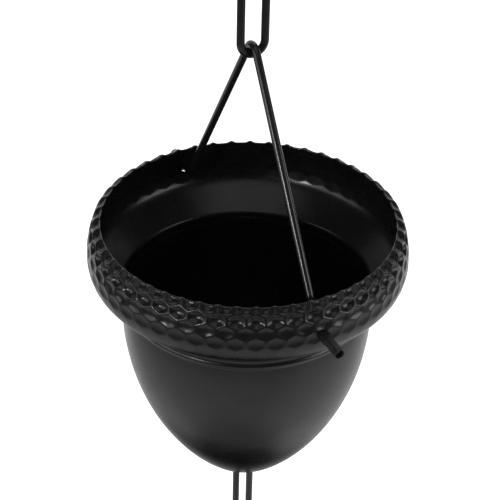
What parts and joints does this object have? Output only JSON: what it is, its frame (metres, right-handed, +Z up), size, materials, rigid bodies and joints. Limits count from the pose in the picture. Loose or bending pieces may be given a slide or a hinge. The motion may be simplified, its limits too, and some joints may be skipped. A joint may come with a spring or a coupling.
{
  "type": "rain chain cup unit",
  "caption": "Black rain chain unit: a stamped acorn cup with a dimpled collar and a drain hole, on a bent wire hanger, with a long wire link above it and another below.",
  "frame": {"origin": "inside of the upper link's top bend, where the unit hangs", "axes": "+Z up the chain; +X along the hanger's turned-out ends, so the hanger lies in the XZ plane; +Y completes the frame"},
  "size_m": [0.1488, 0.125, 0.3041],
  "materials": {
    "black_sheet": "satin",
    "black_wire": "satin",
    "black_rubber": "matte"
  },
  "bodies": {
    "upper_link": {"upper_link": "black_wire"},
    "hanger": {"hanger": "black_wire", "end_sleeve_left": "black_rubber", "end_sleeve_right": "black_rubber"},
    "cup": {"cup": "black_sheet", "cross_pin": "black_wire"},
    "lower_link": {"lower_link": "black_wire"}
  },
  "joints": [
    {"name": "hanger_swing", "type": "hinge", "parent": "upper_link", "child": "hanger", "pos_m": [0, 0, -0.0555], "axis": [0, 1, 0], "range_deg": [-85, 85]},
    {"name": "cup_swing", "type": "hinge", "parent": "hanger", "child": "cup", "pos_m": [0, 0, -0.1367], "axis": [1, 0, 0], "range_deg": [-70, 70]},
    {"name": "lower_link_swing", "type": "hinge", "parent": "cup", "child": "lower_link", "pos_m": [0, 0, -0.2459], "axis": [-0.2079, 0.9781, 0], "range_deg": [-20, 20]}
  ]
}
